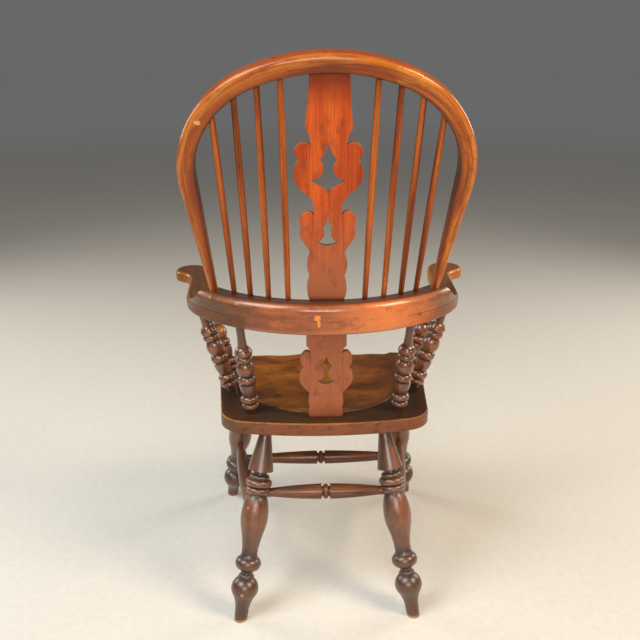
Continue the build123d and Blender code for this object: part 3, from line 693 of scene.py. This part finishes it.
# Painted reflection: the upward faces of the rail are darkened.
layers = stain(layers, rail_top_reflection, rail_smudge_and_reflection_tone, share=0.9)
layers = stain(layers, lower_edge, rail_edge_tone, share=0.5)
layers = bare(layers, arris, rail_edge_tone, share=0.6)
for centre, size in splinters:
    layers = bare(layers, chip(place, centre, size), fresh_wood, share=0.75)
for centre in rubbed_places:
    layers = bare(layers, chip(place, centre, rubbed_size), bare_wood, share=0.5)
wear(nodes["back_rail"], polish(rail_finish, layers, coat=1.0, shine=0.05, haze=0.19))
print("rail nodes:", len(rail_finish.tree.nodes))

# %% [markdown]
# ### Arms
#
# The arms, rubbed by sleeves and hands, are amber, and the right hand is the brighter one. A mask of
# place and facing gives their back ends the wood of the bow, and old polish darkens their flat tops,
# which the rail laps over. Both arms come from one loop, with the sign of X for the side.

# %% Arm finishes
sides = {"left": 1, "right": -1}
arm_tones = {
    "dark": paint(0.11, 0.034, 0.005),
    "mid": paint(0.23, 0.072, 0.007),
    "light": paint(0.42, 0.150, 0.016),
    "pore": paint(0.06, 0.018, 0.004),
}
hand_tones = {"left": paint(0.20, 0.058, 0.007), "right": paint(0.46, 0.145, 0.016)}
arm_middle = (0.27, 0, 0.65)
arm_way = (0.15, -1, 0)
arm_top_level = 0.659


def on_side_of_chair(point, sign):
    """A point or direction of the left side, or its mirror image on the right."""
    return (sign * point[0], point[1], point[2])


for side, sign in sides.items():
    finish = Finish(f"arm_{side}_polish")
    board = board_on(finish, on_side_of_chair(arm_middle, sign), on_side_of_chair(arm_way, sign))
    place = chair_place(finish)
    front_to_back = part_of(place, "Y")
    hand = step(front_to_back, -0.06, -0.13)
    behind = step(front_to_back, 0.0, 0.06) * step(part_of(facing(finish), "Z"), 0.85, 0.5)
    flat_top = step(part_of(place, "Z"), arm_top_level - 0.0016, arm_top_level - 0.0004)
    seed = 0.9 + 0.2 * sign
    layers = old_wood(board, arm_tones, seed, figure_cells=(40, 40, 2.5), cloud_share=0.4)
    layers = stain(layers, hand, hand_tones[side], share=0.7)
    layers = stain(layers, behind, bow_wood(finish)[0])
    layers = dirt_and_shade(layers, flat_top, share=0.6)
    wear(nodes[f"arm_{side}"], polish(finish, layers, coat=0.5, shine=0.04, haze=0.14))
print("arm finishes:", len(sides))

# %% [markdown]
# ## Finish of the seat
#
# The seat is one plank with its grain across the chair. Sitters have rubbed the dish to a golden brown,
# while the ledge round the posts is nearly black with old polish, and the edge is red brown. The rim
# of the dish is worn to a thin golden line, so one mask follows the rim: half a circle behind, and a
# straight line each side. A Maximum node makes the straight sides, because in front of the half
# circle's middle only the distance across counts.

# %% Seat board and masks
seat_edge = 0.0016
dish_middle = -0.0525
dish_radius = 0.176
seat = worn_board("seat", seat_edge)
seat_finish = Finish("seat_polish")
place = chair_place(seat_finish)
across = part_of(place, "X")
front_to_back = part_of(place, "Y")
height = part_of(place, "Z")
upward = part_of(facing(seat_finish), "Z")
past_middle = front_to_back - dish_middle
behind = seat_finish.node("ShaderNodeMath", {"operation": "MAXIMUM"}, {0: past_middle, 1: 0.0})
from_rim = length_of(across, behind) - dish_radius
towards_back = step(front_to_back, -0.13, 0.0)
ledge = step(from_rim, -0.022, 0.002) * step(upward, 0.7, 0.95)
edge = step(upward, 0.55, 0.2)
underside_shade = step(upward, -0.4, -0.8)
thin = patches(place, (60, 60, 60), 0.36, 0.58)
rim = line(from_rim, 0.0, width=0.0038) * step(height, 0.428, 0.4305) * thin * towards_back
arris = line(upward, 0.62, width=0.3) * step(height, 0.426, 0.4275) * step(from_rim, 0.004, 0.012)
print("seat faces:", len(seat.data.polygons))

# %% [markdown]
# ### Tones of the seat
#
# The masks now get their tones, from the broad ones to the thin ones, so that the worn lines lie over
# the stains. The dish is darker to the right, the edge turns greenish at its left end, and the
# underside is painted dark as shade.

# %% Seat finish
seat_tones = {
    "dark": paint(0.070, 0.021, 0.004),
    "mid": paint(0.25, 0.072, 0.006),
    "light": paint(0.41, 0.145, 0.014),
    "pore": paint(0.03, 0.01, 0.004),
}
ledge_and_shade_tone = paint(0.032, 0.015, 0.007)
shaded_tone = paint(0.085, 0.024, 0.008)
edge_tone = paint(0.19, 0.064, 0.032)
edge_left_tone = paint(0.085, 0.052, 0.027)
rim_tone = paint(0.55, 0.24, 0.055)
arris_tone = paint(0.30, 0.155, 0.075)
seat_middle = (0, 0, 0.42)
seat_board = board_on(seat_finish, seat_middle, across_chair)
right_half = step(across, 0.0, -0.14)
left_end = step(across, 0.10, 0.21)
smudges = smudges_on(place, (45, 45, 60), 0.48, 0.72)
layers = old_wood(seat_board, seat_tones, seed=1.6, figure_cells=(16, 16, 8.0), cloud_share=0.55)
layers = stain(layers, right_half, shaded_tone, share=0.6)
layers = stain(layers, ledge * (0.35 + towards_back * 0.65), ledge_and_shade_tone, share=0.92)
layers = stain(layers, edge, edge_tone, share=0.85)
layers = stain(layers, smudges, ledge_and_shade_tone, share=0.55)
layers = stain(layers, edge * left_end, edge_left_tone, share=0.7)
layers = bare(layers, rim, rim_tone, share=0.9)
layers = bare(layers, arris * thin, arris_tone, share=0.4)
# Painted shade: the underside of the seat is darkened.
layers = stain(layers, underside_shade, ledge_and_shade_tone, share=0.7)
wear(seat, polish(seat_finish, layers, coat=0.06, shine=0.16, haze=0.3))
print("seat nodes:", len(seat_finish.tree.nodes))

# %% [markdown]
# ## Finish of the turned pieces
#
# Legs and posts come off the lathe, each along its own line, and the grain follows that line. How far
# up the line a point lies tells the grooves, where dirt and polish have gathered, and how far out it
# lies tells the beads and swellings that knees and feet have rubbed redder and lighter, which also
# paints their highlights. The lines are those of the chair's left side, and the grooves are given by
# their place along the line and their half width. The side posts stand on a taller foot, and their
# forms are a little longer.

# %% Lines and grooves of the legs and posts
leg_lines = {
    "rear_leg": ((0.1845, 0.2195, 0.0), (0.124, 0.1075, 0.392)),
    "front_leg": ((0.236, -0.2965, 0.0), (0.177, -0.1675, 0.392)),
}
post_lines = {
    "front_arm_post": ((0.205, -0.0975, 0.432), (0.2735, -0.1505, 0.634)),
    "side_arm_post": ((0.197, 0.0155, 0.432), (0.2576, 0.0384, 0.634)),
    "rear_arm_post": ((0.154, 0.1115, 0.432), (0.1709, 0.1356, 0.634)),
}
leg_grooves = [(0.0985, 0.009), (0.144, 0.011), (0.267, 0.006), (0.287, 0.0035), (0.314, 0.009)]
post_grooves = [
    (0.0, 0.004),
    (0.010, 0.0035),
    (0.024, 0.003),
    (0.0425, 0.0045),
    (0.0695, 0.003),
    (0.0875, 0.003),
    (0.119, 0.003),
    (0.1335, 0.0025),
]
side_foot = 0.011
side_stretch = 1.069
side_grooves = [(side_foot + along * side_stretch, width) for along, width in post_grooves]
leg_reach = 0.45
post_reach = 0.25


def groove_mask(along, reach, grooves):
    """1 at the bottom of each groove along a turned piece, and 0 on the forms between."""
    stops = []
    for groove, width in grooves:
        stops += [(max(groove - width, 0.0), 0.0), (groove, 1.0), (groove + width, 0.0)]
    stops = [(groove / reach, grey(value)) for groove, value in stops]
    return ramp(along * (1 / reach), stops)


print("grooves on a leg:", len(leg_grooves), "and on a post:", len(post_grooves))

# %% [markdown]
# ### Wood of the turned pieces
#
# The turnings are the darkest wood on the chair. Their sides are painted darker, as shade, and the
# legs grow darker towards the floor. Their very ends, which have slid on floors, are bare.

# %% Turned wood
turned_tones = {
    "dark": paint(0.042, 0.014, 0.004),
    "mid": paint(0.112, 0.035, 0.010),
    "light": paint(0.24, 0.074, 0.020),
    "pore": paint(0.018, 0.007, 0.004),
}
post_tones = {
    "dark": paint(0.050, 0.016, 0.005),
    "mid": paint(0.135, 0.041, 0.011),
    "light": paint(0.29, 0.090, 0.024),
    "pore": paint(0.022, 0.008, 0.004),
}
rubbed_and_highlight_tone = paint(0.24, 0.070, 0.023)


def shaded_sides(finish):
    """1 on the sides of a round, which are painted darker as shade, and 0 on its front and back."""
    return step(abs(part_of(facing(finish), "Y")), 0.75, 0.15)


def turned_wood(board, tones, seed, reach, grooves, widest):
    """Layers of a turned piece, from its board coordinates."""
    finish = board.finish
    from_axis = length_of(part_of(board, "X"), part_of(board, "Y"))
    rubbed_and_lit_swellings = step(from_axis, widest * 0.9, widest) * patches(board, (70, 70, 40), 0.35, 0.65)
    in_grooves = groove_mask(part_of(board, "Z"), reach, grooves)
    height = part_of(chair_place(finish), "Z")
    towards_floor = step(height, 0.26, 0.10)
    floor_end = step(height, 0.007, 0.002)
    layers = old_wood(board, tones, seed, figure_cells=(50, 50, 4.0), cloud_share=0.45)
    # The rubbed, lighter swellings also stand for their painted highlights.
    layers = stain(layers, rubbed_and_lit_swellings, rubbed_and_highlight_tone, share=0.7)
    # Painted shade: the sides of each round are darkened.
    layers = stain(layers, shaded_sides(finish), tones["dark"], share=0.6)
    layers = dirt_and_shade(layers, in_grooves, share=0.92)
    layers = stain(layers, towards_floor, tones["dark"], share=0.6)
    return bare(layers, floor_end, bare_wood, share=0.8)


print("turned wood is ready")

# %% [markdown]
# ### Legs and posts
#
# Each leg and post gets its own finish, with grain from another part of the log. The posts are a
# little lighter than the legs, have a clearer polish, and are black at the foot. Then come the marks:
# two chips on the left rear leg, a knot on the right one, and an amber place on the left front post.

# %% Leg and post finishes
leg_widest = 0.0285
post_widest = 0.0182
post_foot = 0.012
foot_blend = 0.004
amber = paint(0.62, 0.22, 0.025)
amber_place = {"front_arm_post_left": ((0.240, -0.125, 0.530), 0.03)}
chips = {"rear_leg_left": (((0.1789, 0.2294, 0.0651), 0.005), ((0.1638, 0.1742, 0.2409), 0.0035))}
knots = {"rear_leg_right": (((-0.1293, 0.1327, 0.3643), 0.005),)}


def round_spot(finish, centre, size):
    return spot(chair_place(finish), centre, (size, size, size))


def leg_finish(name, lower, upper, seed):
    finish = Finish(f"{name}_polish")
    board = board_on(finish, lower, Vector(upper) - Vector(lower))
    layers = turned_wood(board, turned_tones, seed, leg_reach, leg_grooves, leg_widest)
    for centre, size in chips.get(name, ()):
        layers = bare(layers, round_spot(finish, centre, size), bare_wood, share=0.8)
    for centre, size in knots.get(name, ()):
        layers = dirt_and_shade(layers, round_spot(finish, centre, size), share=0.8)
    return polish(finish, layers, coat=1.0, shine=0.45, haze=0.34)


def post_finish(name, lower, upper, seed):
    finish = Finish(f"{name}_polish")
    board = board_on(finish, lower, Vector(upper) - Vector(lower))
    on_side = "side" in name
    foot = post_foot + (side_foot if on_side else 0.0)
    grooves = side_grooves if on_side else post_grooves
    layers = turned_wood(board, post_tones, seed, post_reach, grooves, post_widest)
    layers = dirt_and_shade(layers, step(part_of(board, "Z"), foot, foot - foot_blend), share=0.7)
    if name in amber_place:
        layers = stain(layers, round_spot(finish, *amber_place[name]), amber, share=0.65)
    return polish(finish, layers, coat=1.0, shine=0.35, haze=0.17)


turned_count = 0
for kind, (lower, upper) in {**leg_lines, **post_lines}.items():
    make_finish = leg_finish if kind in leg_lines else post_finish
    for side, sign in sides.items():
        name = f"{kind}_{side}"
        ends = (on_side_of_chair(lower, sign), on_side_of_chair(upper, sign))
        wear(nodes[name], make_finish(name, *ends, seed=0.2 + 0.31 * turned_count))
        turned_count += 1
print("legs and posts finished:", turned_count)

# %% [markdown]
# ## Finish of the stretchers and spindles
#
# These are slim rounds, two of them with rings at the middle. Their lines could be written down like
# those of the legs, but the frame already holds them: a round's line is the direction in which its
# points spread most.


# %% Lines of the slim rounds
def turning_line(node_name):
    """Lower end and direction of a slim round."""
    mesh = nodes[node_name].data
    points = np.empty(len(mesh.vertices) * 3)
    mesh.vertices.foreach_get("co", points)
    points = points.reshape(-1, 3)
    middle = (points.min(axis=0) + points.max(axis=0)) / 2
    spread = np.linalg.eigh(np.cov((points - points.mean(axis=0)).T))[1]
    # The directions come sorted, so the last is that of the most spread.
    along = spread[:, -1]
    along = along * (1 if along.sum() > 0 else -1)
    reach = ((points - middle) @ along).min()
    return Vector(middle + along * reach), Vector(along)


stretcher_names = sorted(name for name in nodes if "stretcher" in name)
spindle_names = sorted(name for name in nodes if "spindle" in name)
print("stretchers:", len(stretcher_names), "and spindles:", len(spindle_names))

# %% [markdown]
# ### Wood of the slim rounds
#
# The stretchers are as dark as the legs. The spindles are orange, like the hoop they stand under, with
# sides painted darker as shade, and they are darker where they enter the rail.

# %% Stretcher and spindle finishes
spindle_tones = {
    "dark": paint(0.10, 0.017, 0.003),
    "mid": paint(0.32, 0.064, 0.006),
    "light": paint(0.50, 0.130, 0.016),
    "pore": paint(0.07, 0.015, 0.005),
}
round_figure = (80, 80, 3.0)
for number, name in enumerate(stretcher_names + spindle_names):
    seed = 0.5 + 0.17 * number
    finish = Finish(f"{name}_polish")
    board = board_on(finish, *turning_line(name))
    if name in stretcher_names:
        layers = old_wood(board, turned_tones, seed, round_figure, cloud_share=0.4)
        material = polish(finish, layers, coat=0.9, shine=0.05, haze=0.3)
    else:
        layers = old_wood(board, spindle_tones, seed, round_figure, cloud_share=0.4)
        # Painted shade: the sides of each spindle are darkened.
        layers = stain(layers, shaded_sides(finish), spindle_tones["dark"], share=0.75)
        rail_joint = step(part_of(board, "Z"), 0.034, 0.020)
        layers = dirt_and_shade(layers, rail_joint, share=0.75)
        material = polish(finish, layers, coat=0.4, shine=0.05, haze=0.14)
    wear(nodes[name], material)
print("rounds finished:", number + 1)

# %% [markdown]
# ## Floor
#
# The chair stands on a plain pale floor that runs out to the far distance. A wall would throw a shadow
# and a colour of its own, so there is none: far off, the floor is about as bright as the sky above it,
# and no line shows between them.

# %% Floor
floor_size = 160
floor_dark = paint(0.66, 0.62, 0.55)
floor_light = paint(0.71, 0.665, 0.595)
far_grey = grey(0.97)
bpy.ops.object.select_all(action="DESELECT")
bpy.ops.mesh.primitive_plane_add(size=floor_size, location=(0, 0, 0))
floor = bpy.context.object
floor.name = "floor"
floor_finish = Finish("pale_floor")
place = chair_place(floor_finish)
floor_colour = ramp(stretched_noise(place, (60, 60, 60)), [(0.3, floor_dark), (0.7, floor_light)])
far_off = step(length_of(part_of(place, "X"), part_of(place, "Y")), 2.0, 16.0)
floor_finish.feed(floor_finish.shader.inputs["Base Color"], over(floor_colour, far_grey, far_off))
floor_finish.shader.inputs["Roughness"].default_value = 0.95
floor_finish.shader.inputs["Specular IOR Level"].default_value = 0.0
wear(floor, floor_finish.material)
print("floor laid, metres across:", floor_size)

# %% [markdown]
# ## Light
#
# A broad lamp stands behind the viewer, and two smaller ones hang high on either side, a cool one on
# the left and a warm one on the right, so that the turnings catch separate highlights. Two more light
# the front of the chair from its sides, where the seat and the rail do not mirror them to the viewer.
# The lamps are area lamps, because small ones would give hard shadows.

# %% Lamps and sky
chair_middle = Vector((0, 0, 0.6))
white = (1.0, 0.97, 0.93)
cool_white = (0.88, 0.95, 1.0)
warm_white = (1.0, 0.82, 0.60)
sky_grey = grey(0.14)


def soft_lamp(name, place, size, power, colour):
    """A large rectangular lamp that points at the middle of the chair."""
    aim = (chair_middle - Vector(place)).to_track_quat("-Z", "Y").to_euler()
    bpy.ops.object.light_add(type="AREA", location=place, rotation=aim)
    lamp = bpy.context.object
    lamp.name = name
    lamp.data.shape = "RECTANGLE"
    lamp.data.size = size[0]
    lamp.data.size_y = size[1]
    lamp.data.energy = power
    lamp.data.color = colour


soft_lamp("broad_lamp", place=(0.1, 3.4, 1.8), size=(1.7, 1.1), power=58, colour=white)
soft_lamp("cool_lamp", place=(1.5, 1.0, 2.5), size=(1.4, 1.4), power=62, colour=cool_white)
soft_lamp("warm_lamp", place=(-1.9, 1.1, 2.4), size=(1.0, 1.0), power=60, colour=warm_white)
soft_lamp("front_left_lamp", place=(2.6, -1.5, 1.6), size=(1.2, 1.2), power=30, colour=white)
soft_lamp("front_right_lamp", place=(-2.6, -1.5, 1.6), size=(1.2, 1.2), power=30, colour=white)
world = bpy.data.worlds.new("studio")
bpy.context.scene.world = world
world.use_nodes = True
world.node_tree.nodes["Background"].inputs["Color"].default_value = sky_grey
print("lamps:", len(bpy.data.lights))
